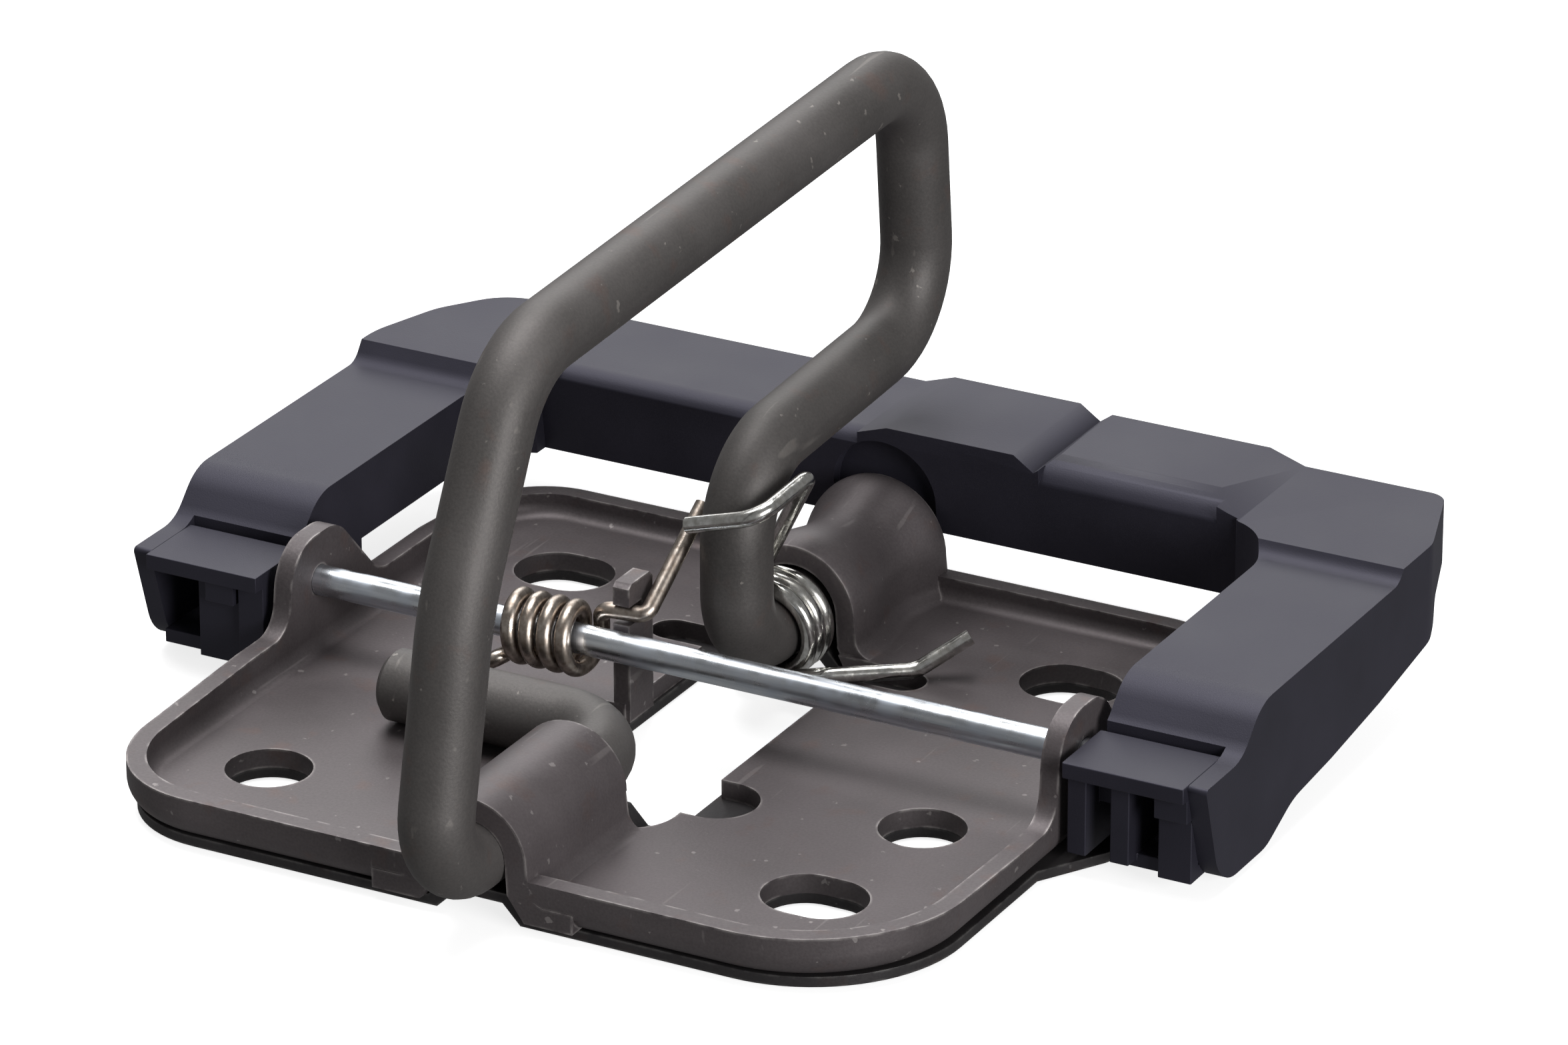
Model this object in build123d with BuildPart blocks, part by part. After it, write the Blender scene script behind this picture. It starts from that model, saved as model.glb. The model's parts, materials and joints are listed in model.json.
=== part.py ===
from build123d import *
import os
from math import cos, radians, sin

# Striker bail on a two-layer stamped plate, with a hinged pull handle.
# Millimetres, Z up. The origin is on the mounting face, which is the underside of the lower plate,
# on the bail's centre plane and straight below the cross pin. Y runs back from the bail's foot
# to the handle's grip, and X to the right of someone facing the grip from the bail's foot.

os.makedirs("parts", exist_ok=True)

# Plates
LOWER_SHEET = 1.2
UPPER_SHEET = 2.2
FLOOR = LOWER_SHEET + UPPER_SHEET        # top of the upper plate's floor
PLATE_HALF = 48.0
PLATE_FRONT = -45.6
PLATE_REAR = 45.2
CORNER_RADII = [13.0, 18.0, 12.0, 10.0]  # front left, front right, rear right, rear left
OUTER_BEND = 2.9
INNER_BEND = 1.6
RIM_FRONT = 6.1
RIM_REAR = 6.0
RIM_LEFT = 7.2
RIM_RIGHT = 5.5
LOWER_INSET = 0.6                        # the lower plate's edge stands inside the upper one's
LOWER_FRONT_INSET = 1.4

# Cross pin and ears
PIN_RADIUS = 1.7
PIN_HEIGHT = 11.1
PIN_HALF = 55.2
PIN_FIT = 0.05
EAR_TOP = 16.6

# Bail
ROD_RADIUS = 4.0
ROD_AXIS = 7.6
ROD_FIT = 0.08
FOOT_Y = -53.8
LEG_Y = 11.7
ROD_END_Y = 43.6
ARM_Y = -13.0
ARM_TIP_X = -29.0

# Saddles over the rod
FRONT_SADDLE_END = -24.4
REAR_SADDLE_START = 24.5
REAR_NECK_START = 33.0
FRONT_SADDLE_RADIUS = 6.6
REAR_SADDLE_SECTIONS = [(7.5, 24.5), (7.4, 30.5), (6.5, 36.0), (7.2, 40.0), (8.2, 43.2), (8.2, 45.2)]
REAR_MOUTH_SPACE = 5.3
TUNNEL_RADIUS = ROD_RADIUS + ROD_FIT

# Window and holes
WINDOW_LEFT = -8.5
WINDOW_RIGHT = 9.8
WINDOW_FRONT = -24.9
WINDOW_REAR = 20.5
HOLE_RADIUS = 4.75
SLOT_LENGTH = 11.7
SLOT_WIDTH = 9.4
ROUND_HOLES = [(-34.1, -30.0), (34.1, -10.0)]
SLOTS = [(31.8, -29.6), (-31.8, 29.4), (31.8, 29.4)]

# Springs
WIRE_RADIUS = 0.92
HANDLE_COIL_RADIUS = 3.3
HANDLE_COIL_LEFT = -21.6
HANDLE_COIL_RIGHT = -12.0
BAIL_COIL_RADIUS = 5.3
BAIL_COIL_START = 16.9
BAIL_COIL_END = 23.3

# Handle
HANDLE_HALF = 65.5
OPENING_HALF = 49.5
WALL = 2.2
SKIN_INNER = HANDLE_HALF - WALL
GRIP_FRONT_TOP = 45.0
GRIP_FRONT_BOTTOM = 46.4
GRIP_BACK = 61.6
GRIP_BOTTOM = 10.4
GRIP_FRONT_EDGE = 9.6                    # lower edge of the grip's front wall
INNER_SKIN_EDGE = 9.4
ARM_TOP = 18.2
GRIP_TOP = 19.6
LEFT_HUMP_TOP = 20.4
PLATEAU_TOP = 21.6
RIGHT_HUMP_TOP = 21.0
BLOCK_TOP = 13.5
BLOCK_FRONT = -7.8
BLOCK_PLATE = 1.8
BLOCK_PLATE_REAR = 1.4
BLOCK_WALL_TOP = 12.8
BLOCK_WALL_REAR = 4.6
BLOCK_INNER = 49.2
BOSS_OUTER = 56.4
BOSS_BOTTOM = 2.5
COVER_FRONT = 2.2
SHELL_FRONT = 8.4
RIB = 1.6
RIB_FOOT = 11.0
PRESS_GAP = 0.02
PLUG = (52.4, 62.6)


def plate_outline(half, front, rear, inset, height):
    """The plates' plan outline, drawn in by an inset, at a height."""
    corners = [(-half, front), (half, front), (half, rear), (-half, rear)]
    with BuildSketch(Plane.XY.offset(height)) as outline:
        with BuildLine():
            FilletPolyline(corners, radius=[r - inset for r in CORNER_RADII], close=True)
        make_face()
    return outline.sketch


def fixing_holes(height):
    """Two round holes and three slots, drawn at a height."""
    with BuildSketch(Plane.XY.offset(height)) as holes:
        with Locations(*ROUND_HOLES):
            Circle(HOLE_RADIUS)
        with Locations(*SLOTS):
            SlotOverall(SLOT_LENGTH, SLOT_WIDTH)
    return holes.sketch


def above_rim(side, base):
    """The space over one side's rim and ear: side is 1 for the right, -1 for the left."""
    with BuildPart() as space:
        with BuildSketch(Plane.YZ):
            with BuildLine():
                edge = FilletPolyline(
                    (-60, RIM_FRONT), (-40, RIM_FRONT), (-14, base), (-6.5, base), (-5.4, EAR_TOP),
                    (4.0, EAR_TOP), (12.6, base), (25, base), (40, RIM_REAR), (60, RIM_REAR),
                    radius=[20, 20, 3.4, 5.4, 5.4, 5, 20, 20],
                )
                Polyline(edge @ 1, (60, 40), (-60, 40), edge @ 0)
            make_face()
        extrude(amount=side * 60)
    return space.part


def saddle_section(radius, y):
    """One cross-section of a saddle pressed up over the rod, with its feet running into the floor."""
    foot = radius + 0.4
    strip = 12.0
    with BuildSketch(Plane.XZ.offset(-y)) as section:
        with BuildLine():
            Polyline((-radius, ROD_AXIS), (-foot, FLOOR), (-strip, FLOOR), (-strip, LOWER_SHEET),
                     (strip, LOWER_SHEET), (strip, FLOOR), (foot, FLOOR), (radius, ROD_AXIS))
            ThreePointArc((radius, ROD_AXIS), (0, ROD_AXIS + radius), (-radius, ROD_AXIS))
        make_face()
        feet = section.vertices().filter_by(lambda v: abs(abs(v.X) - foot) < 0.01)
        fillet(feet, 2.0)
    return section.sketch


def saddle_tunnel(radius, flare, start, end):
    """The space inside a saddle, which flares at the bottom as the sheet does."""
    knee = FLOOR + 0.6
    with BuildPart() as tunnel:
        with BuildSketch(Plane.XZ.offset(-end)):
            with BuildLine():
                Polyline((-radius, ROD_AXIS), (-radius - 0.2, knee), (-radius - flare, LOWER_SHEET),
                         (-radius - flare, -1), (radius + flare, -1), (radius + flare, LOWER_SHEET),
                         (radius + 0.2, knee), (radius, ROD_AXIS))
                ThreePointArc((radius, ROD_AXIS), (0, ROD_AXIS + radius), (-radius, ROD_AXIS))
            make_face()
        extrude(amount=end - start)
    return tunnel.part


# The front saddle is straight. The rear one narrows to grip the rod and then flares into the rim.
with BuildPart() as front_saddle:
    extrude(saddle_section(FRONT_SADDLE_RADIUS, FRONT_SADDLE_END), amount=FRONT_SADDLE_END - PLATE_FRONT)

with BuildPart() as rear_saddle:
    for radius, y in REAR_SADDLE_SECTIONS:
        add(saddle_section(radius, y))
    loft()

# Upper plate: a dish with ears, two saddles, a window, fixing holes and the anchor tab
with BuildPart() as dish_space:
    add(plate_outline(PLATE_HALF - UPPER_SHEET, PLATE_FRONT + UPPER_SHEET, PLATE_REAR - UPPER_SHEET,
                      UPPER_SHEET, FLOOR))
    extrude(amount=EAR_TOP)
    fillet(dish_space.faces().sort_by(Axis.Z)[0].edges(), INNER_BEND)

with BuildPart() as upper_plate:
    add(plate_outline(PLATE_HALF, PLATE_FRONT, PLATE_REAR, 0, LOWER_SHEET))
    extrude(amount=EAR_TOP)
    fillet(upper_plate.faces().sort_by(Axis.Z)[0].edges(), OUTER_BEND)
    add(dish_space.part, mode=Mode.SUBTRACT)
    add(above_rim(-1, RIM_LEFT), mode=Mode.SUBTRACT)
    add(above_rim(1, RIM_RIGHT), mode=Mode.SUBTRACT)
    add(front_saddle.part)
    add(rear_saddle.part)
    # the window, its wider rear end and the half-round notch in its right edge
    with BuildSketch(Plane.XY) as window:
        with BuildLine():
            FilletPolyline((WINDOW_LEFT, WINDOW_FRONT), (WINDOW_RIGHT, WINDOW_FRONT),
                           (WINDOW_RIGHT, WINDOW_REAR + 1), (WINDOW_LEFT, WINDOW_REAR + 1),
                           radius=[2, 5, 1, 1], close=True)
        make_face()
        with Locations((0.9, 21.6)):
            SlotOverall(33.8, 5.0)
        with Locations((11.9, -14.2)):
            Circle(4.5)
        with Locations((10.4, -14.2)):
            Rectangle(3.0, 9.0)
        with Locations((-10.6, 1.0)):
            SlotOverall(6.0, 1.6)
    extrude(amount=ROD_AXIS, mode=Mode.SUBTRACT)
    add(saddle_tunnel(TUNNEL_RADIUS, 2.2, PLATE_FRONT - 1, FRONT_SADDLE_END + 1), mode=Mode.SUBTRACT)
    add(saddle_tunnel(REAR_MOUTH_SPACE, 1.6, REAR_SADDLE_START - 1, REAR_NECK_START), mode=Mode.SUBTRACT)
    add(saddle_tunnel(TUNNEL_RADIUS, 2.2, REAR_NECK_START - 1, PLATE_REAR + 1), mode=Mode.SUBTRACT)
    add(fixing_holes(0))
    extrude(amount=ROD_AXIS, mode=Mode.SUBTRACT)
    with Locations(Plane.YZ):
        with Locations((0, PIN_HEIGHT)):
            Cylinder(PIN_RADIUS + PIN_FIT, 2 * PLATE_HALF + 2, mode=Mode.SUBTRACT)
    # the anchor tab: a bent-up C that the handle spring's leg passes through
    with BuildSketch(Plane.YZ.offset(-10)) as tab:
        with BuildLine():
            Polyline((2.1, 14.9), (2.1, 17.0), (2.7, 17.5), (6.6, 17.5), (7.3, 16.8), (7.3, LOWER_SHEET),
                     (2.1, LOWER_SHEET), (2.1, 12.7), (4.9, 12.7), (4.9, 14.9), (2.1, 14.9))
        make_face()
    extrude(amount=2.0)

# Lower plate: a thin backing sheet with a hollow rib under the rod and a wing at each side
with BuildPart() as rib_hollow:
    with BuildSketch(Plane.XZ.offset(60)):
        with BuildLine():
            Polyline((-5.0, -1), (-5.0, 0), (-2.9, 2.2), (2.9, 2.2), (5.0, 0), (5.0, -1), close=True)
        make_face()
    extrude(amount=-120)

with BuildPart() as lower_plate:
    add(plate_outline(PLATE_HALF - LOWER_INSET, PLATE_FRONT + LOWER_FRONT_INSET,
                      PLATE_REAR - LOWER_FRONT_INSET, LOWER_INSET, 0))
    extrude(amount=LOWER_SHEET)
    with BuildSketch(Plane.XY):
        for side in (-1, 1):
            with BuildLine():
                Polyline((side * 44, -14), (side * 47.4, -9.5), (side * 51.7, -2.2), (side * 53.6, 2.4),
                         (side * 53.6, 6.5), (side * 47.4, 15), (side * 44, 15), close=True)
            make_face()
    extrude(amount=LOWER_SHEET)
    with BuildSketch(Plane.XZ.offset(-PLATE_FRONT - LOWER_FRONT_INSET)):
        with BuildLine():
            Polyline((-6.1, LOWER_SHEET - 0.2), (-6.1, LOWER_SHEET), (-4.0, 3.4), (4.0, 3.4),
                     (6.1, LOWER_SHEET), (6.1, LOWER_SHEET - 0.2), close=True)
        make_face()
    extrude(amount=PLATE_FRONT + LOWER_FRONT_INSET - (PLATE_REAR - LOWER_FRONT_INSET))
    add(rib_hollow.part, mode=Mode.SUBTRACT)
    with BuildSketch(Plane.XY.offset(-1)):
        with BuildLine():
            FilletPolyline((-8.0, -19.0), (9.3, -19.0), (9.3, 24.8), (-8.0, 24.8), radius=2, close=True)
        make_face()
    extrude(amount=6, mode=Mode.SUBTRACT)
    add(fixing_holes(0))
    extrude(amount=LOWER_SHEET, mode=Mode.SUBTRACT)


def round_bar(points, bends, radius):
    """A round bar along straight runs joined by tangent bends."""
    with BuildPart() as bar:
        with BuildLine() as route:
            FilletPolyline(*points, radius=bends)
        with BuildSketch(Plane(origin=route.line @ 0, z_dir=route.line % 0)):
            Circle(radius)
        sweep()
    return bar.part


# Bail: stop arm, front foot, front leg, top bar, rear end, joggle, rear leg and the rod's rear end
with BuildPart() as bail:
    add(round_bar(
        [(ARM_TIP_X, ARM_Y, ROD_AXIS), (0, ARM_Y, ROD_AXIS), (0, FOOT_Y, ROD_AXIS), (0, -47.6, 36.6),
         (0, -35.6, 59.4), (0, 51.3, 62.7), (0, 54.2, 31.5), (0, LEG_Y, 29.4), (0, LEG_Y, ROD_AXIS),
         (0, ROD_END_Y, ROD_AXIS)],
        [8, 6.6, 40, 12, 10, 10, 10, 7],
        ROD_RADIUS))
    chamfer(bail.faces().filter_by(GeomType.PLANE).edges(), 0.8)

# Cross pin
with BuildPart() as axle_pin:
    with Locations(Plane.YZ):
        with Locations((0, PIN_HEIGHT)):
            Cylinder(PIN_RADIUS, 2 * PIN_HALF)
    chamfer(axle_pin.edges().filter_by(GeomType.CIRCLE), 0.3)


def helix_wire(plane, pitch, height, radius):
    """Close-wound turns of spring wire, wound about Z and then laid along a plane's normal."""
    with BuildPart() as winding:
        with BuildLine() as turns:
            Helix(pitch, height, radius)
        with BuildSketch(Plane(origin=turns.line @ 0, z_dir=turns.line % 0)):
            Circle(WIRE_RADIUS)
        sweep(is_frenet=True)
    return plane.from_local_coords(winding.part), plane.from_local_coords(turns.line)


# Bail spring: wound on the rod, its fixed arm on the floor and its moving arm hooked round the leg
ARM_LEAVES = radians(17)
bail_coil_plane = Plane(
    origin=(0, BAIL_COIL_START, ROD_AXIS),
    x_dir=(sin(ARM_LEAVES), 0, -cos(ARM_LEAVES)),
    z_dir=(0, 1, 0),
)
BAIL_COIL_TURNS = 3.384
bail_coil_height = BAIL_COIL_END - BAIL_COIL_START
bail_coil, bail_turns = helix_wire(
    bail_coil_plane, bail_coil_height / BAIL_COIL_TURNS, bail_coil_height, BAIL_COIL_RADIUS)
coil_front, coil_rear = bail_turns @ 0, bail_turns @ 1
with BuildPart() as bail_spring:
    add(bail_coil)
    add(round_bar(
        [coil_front, coil_front - (bail_turns % 0) * 6.5, (16.2, 22.6, 4.45), (20.9, 26.5, 8.0)],
        [3, 3.6], WIRE_RADIUS))
    add(round_bar(
        [coil_rear, coil_rear + (bail_turns % 1) * 2.5, (6.9, 15.4, 28.4), (5.2, 6.9, 26.4),
         (-3.6, 7.3, 23.6)],
        [2.5, 1.6, 3.2], WIRE_RADIUS))

# Handle spring: wound on the cross pin, one leg on the floor and one through the anchor tab
handle_coil_plane = Plane(
    origin=(HANDLE_COIL_LEFT, 0, PIN_HEIGHT),
    x_dir=(0, 0, -1),
    z_dir=(1, 0, 0),
)
HANDLE_COIL_TURNS = 4.3
handle_coil_height = HANDLE_COIL_RIGHT - HANDLE_COIL_LEFT
handle_coil, handle_turns = helix_wire(
    handle_coil_plane, handle_coil_height / HANDLE_COIL_TURNS, handle_coil_height, HANDLE_COIL_RADIUS)
coil_left, coil_right = handle_turns @ 0, handle_turns @ 1
with BuildPart() as handle_spring:
    add(handle_coil)
    add(round_bar(
        [coil_left, coil_left - (handle_turns % 0) * 2.2, (-24.0, -2.6, 6.6), (-28.5, -2.8, 4.4)],
        [1.6, 3], WIRE_RADIUS))
    add(round_bar(
        [coil_right, coil_right + (handle_turns % 1) * 1.9, (-6.6, 3.5, 13.8), (-5.7, 14.6, 22.8)],
        [1.4, 1.2], WIRE_RADIUS))


# Handle: a D-shaped shell, open below, and a block in the front of each arm that carries the pin
def d_outline(inset, height):
    """The handle's plan outline without its opening, drawn in by an inset."""
    half = HANDLE_HALF - inset
    back = GRIP_BACK - inset
    with BuildSketch(Plane.XY.offset(height)) as outline:
        with BuildLine():
            FilletPolyline((-half, -12), (half, -12), (half, 49.0), (half - 4.2, back), (-half + 8.0, back),
                           (-half + 2.8, 54.0), (-half, 45.0),
                           radius=[0.1, 0.1, 6, 2.5, 7, 9, 12], close=True)
        make_face()
    return outline.sketch


with BuildPart() as handle_opening:
    with BuildSketch(Plane.XY.offset(-5)):
        with BuildLine():
            FilletPolyline((-OPENING_HALF, -20), (OPENING_HALF, -20), (OPENING_HALF, GRIP_FRONT_TOP),
                           (-OPENING_HALF, GRIP_FRONT_TOP), radius=[1, 1, 8, 8], close=True)
        make_face()
    extrude(amount=40)

with BuildPart() as handle_body:
    with BuildSketch(Plane.YZ.offset(-HANDLE_HALF - 1)):
        with BuildLine():
            FilletPolyline((-7.0, BLOCK_TOP), (1.6, BLOCK_TOP), (6.2, ARM_TOP), (40.4, ARM_TOP),
                           (44.0, PLATEAU_TOP + 1.5), (64, PLATEAU_TOP + 1.5), (64, 12.8), (53.0, 11.4),
                           (52.0, 8.6), (36, 5.9), (24, 4.4), (14.5, 3.6), (8.0, 0.7), (-3.2, 0.7),
                           radius=[0.5, 5, 6, 2.5, 1, 1, 1, 1.5, 1.5, 20, 20, 10, 6, 5.4], close=True)
        make_face()
    extrude(amount=2 * HANDLE_HALF + 2)
    add(d_outline(0, -5))
    extrude(amount=40, mode=Mode.INTERSECT)
    add(handle_opening.part, mode=Mode.SUBTRACT)
    # the grip's humps, seen from the front
    with BuildSketch(Plane.XZ.offset(-70)):
        with BuildLine():
            Polyline((-70, LEFT_HUMP_TOP), (-3.0, LEFT_HUMP_TOP), (0.7, PLATEAU_TOP), (16.5, PLATEAU_TOP),
                     (19.0, GRIP_TOP + 0.3), (20.5, RIGHT_HUMP_TOP), (40.0, RIGHT_HUMP_TOP),
                     (44.3, GRIP_TOP), (70, GRIP_TOP), (70, 40), (-70, 40), close=True)
        make_face()
    extrude(amount=70, mode=Mode.SUBTRACT)


def slab(x, y, z, mode=Mode.ADD):
    """A block between two limits along each axis."""
    with Locations(((x[0] + x[1]) / 2, (y[0] + y[1]) / 2, (z[0] + z[1]) / 2)):
        Box(x[1] - x[0], y[1] - y[0], z[1] - z[0], mode=mode)


# the hollow of the shell, with cross ribs left in its roof
with BuildPart() as shell_space:
    with BuildSketch(Plane.XY.offset(-5)):
        add(d_outline(WALL, 0))
        with BuildLine():
            FilletPolyline((-OPENING_HALF - WALL, -20), (OPENING_HALF + WALL, -20),
                           (OPENING_HALF + WALL, GRIP_FRONT_BOTTOM + WALL),
                           (-OPENING_HALF - WALL, GRIP_FRONT_BOTTOM + WALL),
                           radius=[1, 1, 9, 9], close=True)
        make_face(mode=Mode.SUBTRACT)
        with Locations((0, SHELL_FRONT - 20)):
            Rectangle(140, 40, mode=Mode.SUBTRACT)
    extrude(amount=5 + ARM_TOP - WALL)
    for y in (20, 32, 44):
        slab((-70, 70), (y - RIB / 2, y + RIB / 2), (RIB_FOOT, ARM_TOP), mode=Mode.SUBTRACT)
    for x in range(-40, 41, 16):
        slab((x - RIB / 2, x + RIB / 2), (46, 70), (RIB_FOOT, ARM_TOP), mode=Mode.SUBTRACT)


def front_edge_waste(left, right, top, radius):
    """What a rounded front edge takes off a hump between two X limits."""
    front = GRIP_FRONT_TOP - 0.2
    with BuildPart() as waste:
        with BuildSketch(Plane.YZ.offset(left)):
            with Locations((front + radius / 2 - 1, top - radius / 2 + 1)):
                Rectangle(radius + 2, radius + 2)
            with Locations((front + radius, top - radius)):
                Circle(radius, mode=Mode.SUBTRACT)
            with Locations((front + radius * 2, top)):
                Rectangle(radius * 2, radius * 8, mode=Mode.SUBTRACT)
            with Locations((front, top - radius * 3)):
                Rectangle(radius * 8, radius * 4, mode=Mode.SUBTRACT)
        extrude(amount=right - left)
    return waste.part


with BuildPart() as handle_cover:
    add(handle_body.part)
    add(front_edge_waste(-41.4, -3, LEFT_HUMP_TOP, 2.6), mode=Mode.SUBTRACT)
    add(front_edge_waste(19.6, 41.4, RIGHT_HUMP_TOP, 4.4), mode=Mode.SUBTRACT)
    # the grip's front face leans back, and an arch in it clears the rear saddle's rim
    with BuildSketch(Plane.YZ.offset(-44)):
        with BuildLine():
            Polyline((40, 30), (GRIP_FRONT_TOP - 1.6, 30), (GRIP_FRONT_BOTTOM, GRIP_BOTTOM),
                     (GRIP_FRONT_BOTTOM + 0.4, 5), (40, 5), close=True)
        make_face()
    extrude(amount=88, mode=Mode.SUBTRACT)
    with BuildSketch(Plane.XZ.offset(-47.4)):
        with Locations((0, 13.4)):
            Circle(6.4)
        with Locations((0, 8.0)):
            Rectangle(12.8, 10.8)
    extrude(amount=10, mode=Mode.SUBTRACT)
    add(shell_space.part, mode=Mode.SUBTRACT)
    slab((-48, 48), (42, GRIP_FRONT_BOTTOM + WALL + 0.6), (0, GRIP_FRONT_EDGE), mode=Mode.SUBTRACT)
    for side in (-1, 1):
        inner, outer = sorted((side * (OPENING_HALF - 2), side * (OPENING_HALF + WALL + 0.3)))
        slab((inner, outer), (15, GRIP_FRONT_BOTTOM + WALL + 0.6), (0, INNER_SKIN_EDGE), mode=Mode.SUBTRACT)
        inner, outer = sorted((side * (OPENING_HALF - 2), side * SKIN_INNER))
        slab((inner, outer), (-20, COVER_FRONT), (-5, 30), mode=Mode.SUBTRACT)
        slab((inner, outer), (-20, BLOCK_WALL_REAR), (-5, BLOCK_WALL_TOP), mode=Mode.SUBTRACT)
        slab((inner, outer), (-20, 16), (-5, BOSS_BOTTOM), mode=Mode.SUBTRACT)
        inner, outer = sorted((side * (PLUG[0] - PRESS_GAP), side * (PLUG[1] + PRESS_GAP)))
        slab((inner, outer), (BLOCK_WALL_REAR, SHELL_FRONT), (8.0 - PRESS_GAP, 10.0 + PRESS_GAP),
             mode=Mode.SUBTRACT)


def hinge_block(webs, panel, ledge):
    """The block of an arm, drawn on the right: upright webs and a recessed front panel with a ledge."""
    with BuildPart() as block:
        slab((BLOCK_INNER, SKIN_INNER), (BLOCK_FRONT, BLOCK_PLATE_REAR), (BLOCK_TOP - BLOCK_PLATE, BLOCK_TOP))
        for web in webs:
            slab(web, (-6.4, BLOCK_WALL_REAR), (BOSS_BOTTOM, BLOCK_WALL_TOP))
        # the hub round the pin
        slab((BLOCK_INNER, BOSS_OUTER), (-3.4, 3.4), (PIN_HEIGHT - 3.4, BLOCK_WALL_TOP))
        slab(panel, (-5.6, -3.8), (1.6, BLOCK_WALL_TOP))
        slab((54.6, SKIN_INNER), (-4.4, BLOCK_WALL_REAR), (1.6, 3.2))
        slab(ledge, (-6.8, -5.6), (9.0, BLOCK_WALL_TOP))
        slab((BLOCK_INNER, SKIN_INNER), (2.6, BLOCK_WALL_REAR), (BOSS_BOTTOM, BLOCK_WALL_TOP))
        slab(PLUG, (BLOCK_WALL_REAR, 12.0), (8.0, 10.0))
        # a blind bore, so that the two hubs hold the pin endwise
        with Locations(Plane.YZ.offset(BLOCK_INNER)):
            with Locations((0, PIN_HEIGHT, (PIN_HALF - BLOCK_INNER + 0.2) / 2)):
                Cylinder(PIN_RADIUS + PRESS_GAP, PIN_HALF - BLOCK_INNER + 0.2, mode=Mode.SUBTRACT)
    return block.part


hinge_block_right = hinge_block(
    webs=[(BLOCK_INNER, BLOCK_INNER + WALL), (BOSS_OUTER - WALL, BOSS_OUTER)],
    panel=(59.4, SKIN_INNER),
    ledge=(59.4, SKIN_INNER),
)
hinge_block_left = mirror(
    hinge_block(webs=[(BLOCK_INNER, 52.4)], panel=(52.4, 58.0), ledge=(52.8, 56.4)),
    about=Plane.YZ,
)

for piece, name in (
    (upper_plate.part, "upper_plate"),
    (lower_plate.part, "lower_plate"),
    (bail.part, "bail"),
    (bail_spring.part, "bail_spring"),
    (handle_spring.part, "handle_spring"),
    (axle_pin.part, "axle_pin"),
    (handle_cover.part, "handle_cover"),
    (hinge_block_right, "hinge_block_right"),
    (hinge_block_left, "hinge_block_left"),
):
    piece.label = name
    export_step(piece, f"parts/{name}.step")
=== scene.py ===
"""The looks of the striker bail plate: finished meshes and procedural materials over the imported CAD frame."""

import json
import math

import bmesh
import bpy
from mathutils import Matrix, Vector


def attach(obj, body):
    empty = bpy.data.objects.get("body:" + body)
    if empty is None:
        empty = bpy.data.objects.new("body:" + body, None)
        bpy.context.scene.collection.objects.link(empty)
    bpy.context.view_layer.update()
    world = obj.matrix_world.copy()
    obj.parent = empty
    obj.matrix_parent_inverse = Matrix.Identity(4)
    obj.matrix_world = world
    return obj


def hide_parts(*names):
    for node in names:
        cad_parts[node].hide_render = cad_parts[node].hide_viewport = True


# The camera, in metres and degrees
CAMERA_PLACE = Vector((0.40716, -0.72798, 0.39561))
CAMERA_HEADING = 28.484
CAMERA_DIP = 23.816
CAMERA_ROLL = -0.089
LENS = 196.35
SENSOR = 36.0

# Edge radii of the finished meshes, in metres
PLASTIC_EDGE = 0.0009
BLOCK_EDGE = 0.0004
SHEET_EDGE = 0.00025
EDGE_SEGMENTS = 2

# Angles at which a mesh's faces are joined, its edges rounded and its shading broken
FLAT_ANGLE = math.radians(1)
ROUNDED_ANGLE = math.radians(40)
SMOOTH_ANGLE = math.radians(38)
SHARED_POINT = 1e-6

# The stage: lamps in watts, the surround and the floor's glow as strengths
FLOOR_SIZE = 6.0
FLOOR_DROP = 0.0002
FLOOR_GLOW = 0.8
WORLD_STRENGTH = 0.22
OVERHEAD_POWER = 32.0
BACK_POWER = 15.0
SIDE_POWER = 42.0
LAMP_TARGET = Vector((0, 0, 0.02))


def add_camera():
    """A long lens above and to the right of the object's front."""
    heading = math.radians(CAMERA_HEADING)
    dip = math.radians(CAMERA_DIP)
    roll = math.radians(CAMERA_ROLL)
    right = Vector((math.cos(heading), math.sin(heading), 0))
    forward = Vector((-math.sin(heading) * math.cos(dip), math.cos(heading) * math.cos(dip), -math.sin(dip)))
    up = right.cross(forward)
    side = right * math.cos(roll) + up * math.sin(roll)
    top = up * math.cos(roll) - right * math.sin(roll)
    data = bpy.data.cameras.new("camera")
    data.lens = LENS
    data.sensor_fit = "HORIZONTAL"
    data.sensor_width = SENSOR
    data.clip_start = 0.01
    data.clip_end = 20
    camera = bpy.data.objects.new("camera", data)
    axes = Matrix((side, top, -forward)).transposed()
    camera.matrix_world = Matrix.Translation(CAMERA_PLACE) @ axes.to_4x4()
    bpy.context.scene.collection.objects.link(camera)
    bpy.context.scene.camera = camera


def add_lamp(name, place, size, power):
    """A square area lamp aimed at the object."""
    data = bpy.data.lights.new(name, "AREA")
    data.shape = "SQUARE"
    data.size = size
    data.energy = power
    lamp = bpy.data.objects.new(name, data)
    lamp.location = place
    lamp.rotation_mode = "QUATERNION"
    lamp.rotation_quaternion = (LAMP_TARGET - Vector(place)).to_track_quat("-Z", "Y")
    bpy.context.scene.collection.objects.link(lamp)


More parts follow.
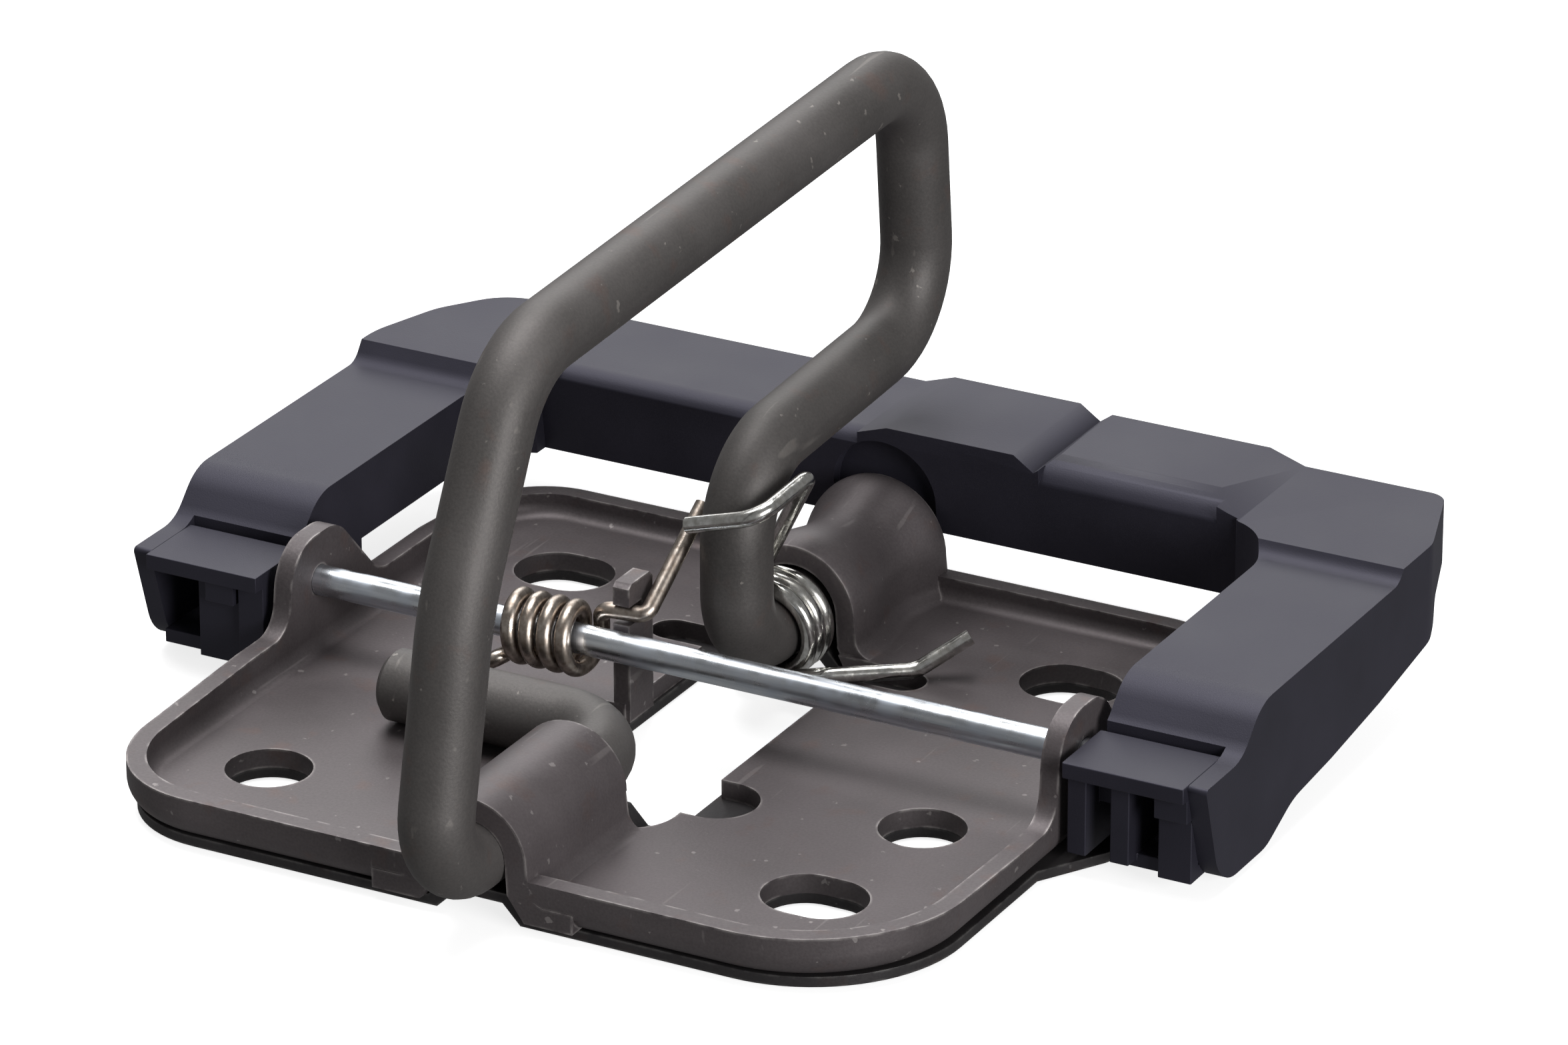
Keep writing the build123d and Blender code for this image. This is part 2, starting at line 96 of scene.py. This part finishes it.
def add_studio():
    """A pale floor, a pale surround and soft lamps above."""
    world = bpy.data.worlds.new("surround")
    world.use_nodes = True
    background = world.node_tree.nodes["Background"]
    background.inputs["Color"].default_value = (1, 1, 1, 1)
    background.inputs["Strength"].default_value = WORLD_STRENGTH
    bpy.context.scene.world = world
    bpy.context.scene.view_settings.view_transform = "Standard"
    bpy.ops.mesh.primitive_plane_add(size=FLOOR_SIZE, location=(0, 0, -FLOOR_DROP))
    floor = bpy.context.object
    floor.name = "floor"
    floor.data.materials.append(floor_paper())
    # the paper is seen and takes the shadow, but throws no glare up into the object's dark sides
    floor.visible_diffuse = False
    floor.visible_glossy = False
    add_lamp("overhead", (-0.3, 0.2, 1.7), 1.1, OVERHEAD_POWER)
    add_lamp("back_panel", (-1.0, 1.7, 1.15), 1.3, BACK_POWER)
    add_lamp("side_panel", (2.0, -0.9, 0.6), 1.0, SIDE_POWER)


def floor_paper():
    """Pale matte paper with a little glow of its own, which keeps the shadow light."""
    material = bpy.data.materials.new("floor_paper")
    material.use_nodes = True
    shader = material.node_tree.nodes["Principled BSDF"]
    shader.inputs["Base Color"].default_value = (0.5, 0.5, 0.5, 1)
    shader.inputs["Roughness"].default_value = 1.0
    shader.inputs["Specular IOR Level"].default_value = 0.0
    shader.inputs["Emission Color"].default_value = (1, 1, 1, 1)
    shader.inputs["Emission Strength"].default_value = FLOOR_GLOW
    return material


class Graph:
    """Short calls for building one material's nodes."""

    def __init__(self, name, metallic):
        self.material = bpy.data.materials.new(name)
        self.material.use_nodes = True
        self.nodes = self.material.node_tree.nodes
        self.links = self.material.node_tree.links
        self.shader = self.nodes["Principled BSDF"]
        self.shader.inputs["Metallic"].default_value = metallic
        self.place = self.nodes.new("ShaderNodeTexCoord").outputs["Object"]

    def noise(self, scale, detail=4.0, stretch=(1, 1, 1)):
        """Noise at a number of grains to the metre, drawn out along an axis by a small stretch."""
        mapping = self.nodes.new("ShaderNodeMapping")
        mapping.inputs["Scale"].default_value = stretch
        self.links.new(self.place, mapping.inputs["Vector"])
        texture = self.nodes.new("ShaderNodeTexNoise")
        texture.inputs["Scale"].default_value = scale
        texture.inputs["Detail"].default_value = detail
        self.links.new(mapping.outputs["Vector"], texture.inputs["Vector"])
        return texture.outputs["Fac"]

    def ramp(self, value, stops):
        """A colour ramp through (position, colour) stops."""
        node = self.nodes.new("ShaderNodeValToRGB")
        elements = node.color_ramp.elements
        while len(elements) < len(stops):
            elements.new(0.5)
        for element, (position, colour) in zip(elements, stops):
            element.position = position
            element.color = (*colour, 1)
        self.links.new(value, node.inputs["Fac"])
        return node.outputs["Color"]

    def grey(self, value, low, high):
        """Spreads a 0 to 1 value over a new range."""
        node = self.nodes.new("ShaderNodeMapRange")
        node.inputs["To Min"].default_value = low
        node.inputs["To Max"].default_value = high
        self.links.new(value, node.inputs["Value"])
        return node.outputs["Result"]

    def mix(self, factor, first, second):
        """Mixes two colours by a factor."""
        node = self.nodes.new("ShaderNodeMix")
        node.data_type = "RGBA"
        # the node has a pair of inputs for each data type, and its colours are the pair 6 and 7
        self.links.new(factor, node.inputs["Factor"])
        for socket, colour in ((node.inputs[6], first), (node.inputs[7], second)):
            if isinstance(colour, tuple):
                socket.default_value = (*colour, 1)
            else:
                self.links.new(colour, socket)
        return node.outputs[2]

    def edges(self, radius=0.0005):
        """White along edges and black elsewhere, where a rounded normal leaves the plain one."""
        rounded = self.nodes.new("ShaderNodeBevel")
        rounded.samples = 4
        rounded.inputs["Radius"].default_value = radius
        plain = self.nodes.new("ShaderNodeNewGeometry")
        dot = self.nodes.new("ShaderNodeVectorMath")
        dot.operation = "DOT_PRODUCT"
        self.links.new(rounded.outputs["Normal"], dot.inputs[0])
        self.links.new(plain.outputs["Normal"], dot.inputs[1])
        return self.ramp(dot.outputs["Value"], [(0.9, (1, 1, 1)), (0.985, (0, 0, 0))])

    def multiply(self, first, second):
        """The product of two values."""
        node = self.nodes.new("ShaderNodeMath")
        node.operation = "MULTIPLY"
        self.links.new(first, node.inputs[0])
        self.links.new(second, node.inputs[1])
        return node.outputs["Value"]

    def bump(self, value, depth, strength=1.0):
        """Raises the surface by a depth in metres."""
        node = self.nodes.new("ShaderNodeBump")
        node.inputs["Distance"].default_value = depth
        node.inputs["Strength"].default_value = strength
        self.links.new(value, node.inputs["Height"])
        self.links.new(node.outputs["Normal"], self.shader.inputs["Normal"])

    def finish(self, colour, roughness):
        """Joins a colour and a roughness to the shader and returns the material."""
        self.links.new(colour, self.shader.inputs["Base Color"])
        self.links.new(roughness, self.shader.inputs["Roughness"])
        return self.material


def phosphate(name, dark, light, worn, rust, metallic=0.55, rough=(0.44, 0.6)):
    """Dark phosphated steel: brown clouds, fine crystals, nicks and hair scratches, and edges worn bright."""
    graph = Graph(name, metallic)
    clouds = graph.noise(70, 5)
    grain = graph.noise(3200, 3)
    hairs = graph.ramp(graph.noise(700, 2, (1, 0.06, 0.4)), [(0.69, (0, 0, 0)), (0.73, (1, 1, 1))])
    nicks = graph.ramp(graph.noise(620, 6), [(0.69, (0, 0, 0)), (0.72, (1, 1, 1))])
    freckles = graph.ramp(graph.noise(240, 6), [(0.6, (0, 0, 0)), (0.72, (1, 1, 1))])
    patches = graph.ramp(graph.noise(420, 5), [(0.42, (0, 0, 0)), (0.6, (1, 1, 1))])
    wear = graph.multiply(graph.edges(), patches)
    colour = graph.ramp(clouds, [(0.3, dark), (0.72, light)])
    colour = graph.mix(graph.grey(freckles, 0, 0.45), colour, rust)
    colour = graph.mix(graph.grey(grain, 0, 0.14), colour, worn)
    colour = graph.mix(graph.grey(hairs, 0, 0.16), colour, worn)
    colour = graph.mix(graph.grey(nicks, 0, 0.4), colour, worn)
    colour = graph.mix(graph.grey(wear, 0, 0.85), colour, worn)
    graph.bump(grain, 0.00004, 0.5)
    return graph.finish(colour, graph.grey(clouds, *rough))


def moulded_plastic():
    """Black moulded plastic with a blue cast and a fine even grain."""
    graph = Graph("black_plastic", 0.0)
    graph.shader.inputs["Specular Tint"].default_value = (0.82, 0.8, 1.0, 1)
    patches = graph.noise(90, 4)
    grain = graph.noise(6000, 2)
    colour = graph.ramp(patches, [(0.3, (0.012, 0.0115, 0.017)), (0.72, (0.019, 0.018, 0.026))])
    graph.bump(grain, 0.00003, 0.4)
    return graph.finish(colour, graph.grey(patches, 0.5, 0.64))


def bright_metal(name, low, high, rough, stretch, dull):
    """Plated or drawn metal: fine lines along its length and duller patches."""
    graph = Graph(name, 1.0)
    lines = graph.noise(1500, 3, stretch)
    stains = graph.ramp(graph.noise(320, 5), [(0.38, (0, 0, 0)), (0.66, (1, 1, 1))])
    colour = graph.ramp(lines, [(0.3, low), (0.7, high)])
    colour = graph.mix(graph.grey(stains, 0, 0.5), colour, dull)
    graph.bump(lines, 0.00003, 0.6)
    return graph.finish(colour, graph.grey(stains, *rough))


def make_materials():
    """One procedural material for each slot in the record."""
    return {
        "phosphated_steel": phosphate(
            "phosphated_steel", (0.06, 0.05, 0.053), (0.1, 0.085, 0.09), (0.42, 0.39, 0.38),
            (0.1, 0.055, 0.045)),
        "dark_backing_steel": phosphate(
            "dark_backing_steel", (0.02, 0.018, 0.02), (0.04, 0.036, 0.038), (0.16, 0.155, 0.15),
            (0.05, 0.03, 0.026)),
        "bail_steel": phosphate(
            "bail_steel", (0.056, 0.052, 0.051), (0.092, 0.085, 0.084), (0.4, 0.37, 0.34), (0.1, 0.06, 0.05),
            rough=(0.5, 0.64)),
        "bright_spring_wire": bright_metal(
            "bright_spring_wire", (0.5, 0.49, 0.46), (0.82, 0.82, 0.8), (0.14, 0.34), (1, 1, 1),
            (0.4, 0.38, 0.34)),
        "oil_tempered_wire": bright_metal(
            "oil_tempered_wire", (0.3, 0.25, 0.21), (0.62, 0.56, 0.5), (0.26, 0.42), (1, 1, 1),
            (0.2, 0.15, 0.12)),
        "zinc_plated_pin": bright_metal(
            "zinc_plated_pin", (0.5, 0.53, 0.57), (0.86, 0.89, 0.92), (0.2, 0.4), (0.05, 1, 1),
            (0.5, 0.56, 0.66)),
        "black_plastic": moulded_plastic(),
    }


def finished_copy(node, cad, edge):
    """The CAD mesh with its shared points joined, its sharp edges rounded and its curves smooth-shaded."""
    mesh = cad.data.copy()
    piece = bpy.data.objects.new(f"{node}_finished", mesh)
    bpy.context.scene.collection.objects.link(piece)
    shape = bmesh.new()
    shape.from_mesh(mesh)
    bmesh.ops.remove_doubles(shape, verts=shape.verts, dist=SHARED_POINT)
    bmesh.ops.dissolve_limit(shape, angle_limit=FLAT_ANGLE, verts=shape.verts, edges=shape.edges)
    shape.to_mesh(mesh)
    shape.free()
    mesh.materials.clear()
    bpy.context.view_layer.objects.active = piece
    piece.select_set(True)
    if edge:
        bevel = piece.modifiers.new("edge", "BEVEL")
        bevel.width = edge
        bevel.segments = EDGE_SEGMENTS
        bevel.limit_method = "ANGLE"
        bevel.angle_limit = ROUNDED_ANGLE
        bevel.use_clamp_overlap = True
        bpy.ops.object.modifier_apply(modifier="edge")
    for face in piece.data.polygons:
        face.use_smooth = True
    piece.data.set_sharp_from_angle(angle=SMOOTH_ANGLE)
    weighting = piece.modifiers.new("flat_faces", "WEIGHTED_NORMAL")
    weighting.keep_sharp = True
    weighting.weight = 100
    bpy.ops.object.modifier_apply(modifier="flat_faces")
    piece.select_set(False)
    return piece


def dress(frame, materials):
    """Replaces each CAD node's mesh by its finished copy, on its own body and in its own slot's material."""
    edges = {
        "upper_plate": SHEET_EDGE,
        "lower_plate": SHEET_EDGE,
        "handle_cover": PLASTIC_EDGE,
        "hinge_block_left": BLOCK_EDGE,
        "hinge_block_right": BLOCK_EDGE,
    }
    slots = {entry["node"]: entry["material_slot"] for entry in frame["record"]["subparts"]}
    body_of_node = {
        node: body
        for body, nodes in frame["record"]["behaviour"]["bodies"].items()
        for node in nodes
    }
    for node, cad in frame["nodes"].items():
        piece = finished_copy(node, cad, edges.get(node, 0))
        piece.data.materials.append(materials[slots[node]])
        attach(piece, body_of_node[node])
        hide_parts(node)


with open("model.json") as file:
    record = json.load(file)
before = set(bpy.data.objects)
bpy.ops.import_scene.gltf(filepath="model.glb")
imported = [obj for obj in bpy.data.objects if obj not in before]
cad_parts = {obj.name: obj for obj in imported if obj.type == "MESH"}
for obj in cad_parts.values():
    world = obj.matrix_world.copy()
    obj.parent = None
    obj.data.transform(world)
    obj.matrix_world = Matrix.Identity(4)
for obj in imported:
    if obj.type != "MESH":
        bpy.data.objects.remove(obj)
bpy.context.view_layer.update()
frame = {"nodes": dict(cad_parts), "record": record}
add_camera()
add_studio()
dress(frame, make_materials())
